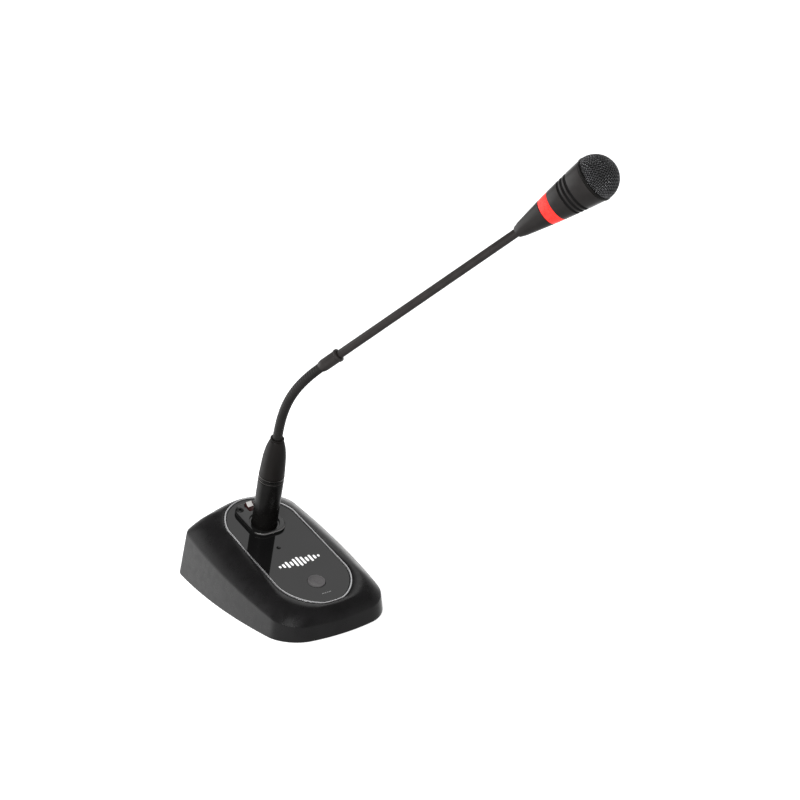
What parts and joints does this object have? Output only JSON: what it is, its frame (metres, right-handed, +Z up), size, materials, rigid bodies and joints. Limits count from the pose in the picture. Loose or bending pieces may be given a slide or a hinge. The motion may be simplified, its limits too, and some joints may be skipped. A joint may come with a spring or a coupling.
{
  "type": "gooseneck podium microphone",
  "caption": "Desk paging microphone: a wedge base with a talk button, and a plug-in flexible neck that carries a slim tube, a lit ring and a domed mesh head.",
  "frame": {"origin": "under the middle of the base, on the lower face of its rubber pad, which is the table plane", "axes": "+Z up, -Y towards the talker (the button side), +X to the right; the connector is at +Y"},
  "size_m": [0.2262, 0.2582, 0.3674],
  "materials": {
    "housing": "satin near-black moulding",
    "panel": "polished dark grey acrylic",
    "bright_trim": "bright",
    "screws": "satin",
    "black_metal": "gloss black",
    "neck_sleeve": "satin black sleeve over a steel coil",
    "rubber": "matt",
    "inner_plastic": "matt",
    "button": "matt grey",
    "head": "satin dark paint",
    "light_ring": "translucent red",
    "grille": "black woven mesh",
    "contacts": "gold plate",
    "ballast": "bare",
    "board": "green circuit board",
    "capsule": "satin"
  },
  "bodies": {
    "base": {"ballast_weight": "ballast", "base_pad": "rubber", "base_screw_1": "screws", "base_screw_2": "screws", "base_screw_3": "screws", "base_screw_4": "screws", "bottom_cover": "inner_plastic", "circuit_board": "board", "face_panel": "panel", "rear_connector_insert": "inner_plastic", "rear_connector_shell": "black_metal", "rear_pin_1": "contacts", "rear_pin_2": "contacts", "rear_pin_3": "contacts", "rear_screw_1": "screws", "rear_screw_2": "screws", "socket_contact_1": "contacts", "socket_contact_2": "contacts", "socket_contact_3": "contacts", "socket_flange": "black_metal", "socket_insert": "inner_plastic", "socket_screw_1": "screws", "socket_screw_2": "screws", "tact_switch": "inner_plastic", "trim_ring": "bright_trim", "upper_housing": "housing"},
    "talk_button": {"talk_button": "button"},
    "latch_tab": {"latch_tab": "bright_trim"},
    "mic_plug": {"plug_band": "black_metal", "plug_boot": "rubber", "plug_insert": "inner_plastic", "plug_pin_1": "contacts", "plug_pin_2": "contacts", "plug_pin_3": "contacts", "plug_shell": "black_metal"},
    "link_1": {"neck_link_1": "neck_sleeve"},
    "link_2": {"neck_link_2": "neck_sleeve"},
    "link_3": {"neck_link_3": "neck_sleeve"},
    "link_4": {"neck_link_4": "neck_sleeve"},
    "link_5": {"neck_link_5": "neck_sleeve"},
    "link_6": {"neck_link_6": "neck_sleeve"},
    "link_7": {"neck_link_7": "neck_sleeve"},
    "link_8": {"neck_link_8": "neck_sleeve"},
    "neck_and_head": {"neck_collar": "black_metal", "neck_tube": "black_metal", "head_cone": "head", "light_ring": "light_ring", "light_board": "board", "head_body": "head", "grille_ring": "black_metal", "grille": "grille", "capsule_holder": "rubber", "capsule": "capsule"}
  },
  "joints": [
    {"name": "talk_button_press", "type": "slide", "parent": "base", "child": "talk_button", "axis": [0, 0.2396, -0.9709], "range_m": [0, 0.001], "stiffness_N_per_m": 800},
    {"name": "latch_press", "type": "hinge", "parent": "base", "child": "latch_tab", "pos_m": [0, 0.04079, 0.05081], "axis": [-1, 0, 0], "range_deg": [0, 8], "stiffness_Nm_per_rad": 0.05},
    {"name": "mic_unplug", "type": "slide", "parent": "base", "child": "mic_plug", "axis": [0, -0.2396, 0.9709], "range_m": [0, 0.03]},
    {"name": "neck_tilt_1", "type": "hinge", "parent": "mic_plug", "child": "link_1", "pos_m": [0, 0.00667, 0.12479], "axis": [0.5764, 0.7933, 0.1958], "range_deg": [-12, 12], "stiffness_Nm_per_rad": 20},
    {"name": "neck_swing_1", "type": "hinge", "parent": "link_1", "child": "link_2", "pos_m": [0.00019, 0.00439, 0.1335], "axis": [-0.8149, 0.5406, 0.2089], "range_deg": [-11, 11], "stiffness_Nm_per_rad": 20},
    {"name": "neck_tilt_2", "type": "hinge", "parent": "link_2", "child": "link_3", "pos_m": [0.00073, 0.00187, 0.14212], "axis": [0.5764, 0.7933, 0.1958], "range_deg": [-12, 12], "stiffness_Nm_per_rad": 20},
    {"name": "neck_swing_2", "type": "hinge", "parent": "link_3", "child": "link_4", "pos_m": [0.00182, -0.00101, 0.15057], "axis": [-0.7912, 0.482, 0.3765], "range_deg": [-11, 11], "stiffness_Nm_per_rad": 20},
    {"name": "neck_tilt_3", "type": "hinge", "parent": "link_4", "child": "link_5", "pos_m": [0.00366, -0.00436, 0.15872], "axis": [0.5764, 0.7933, 0.1958], "range_deg": [-12, 12], "stiffness_Nm_per_rad": 20},
    {"name": "neck_swing_3", "type": "hinge", "parent": "link_5", "child": "link_6", "pos_m": [0.00634, -0.00821, 0.16641], "axis": [-0.7197, 0.3794, 0.5815], "range_deg": [-11, 11], "stiffness_Nm_per_rad": 20},
    {"name": "neck_tilt_4", "type": "hinge", "parent": "link_6", "child": "link_7", "pos_m": [0.00983, -0.01249, 0.17351], "axis": [0.5764, 0.7933, 0.1958], "range_deg": [-12, 12], "stiffness_Nm_per_rad": 20},
    {"name": "neck_swing_4", "type": "hinge", "parent": "link_7", "child": "link_8", "pos_m": [0.01395, -0.0171, 0.18005], "axis": [-0.6402, 0.2895, 0.7116], "range_deg": [-11, 11], "stiffness_Nm_per_rad": 20},
    {"name": "neck_tilt_5", "type": "hinge", "parent": "link_8", "child": "neck_and_head", "pos_m": [0.01852, -0.02192, 0.18612], "axis": [0.5764, 0.7933, 0.1958], "range_deg": [-12, 12], "stiffness_Nm_per_rad": 20}
  ]
}
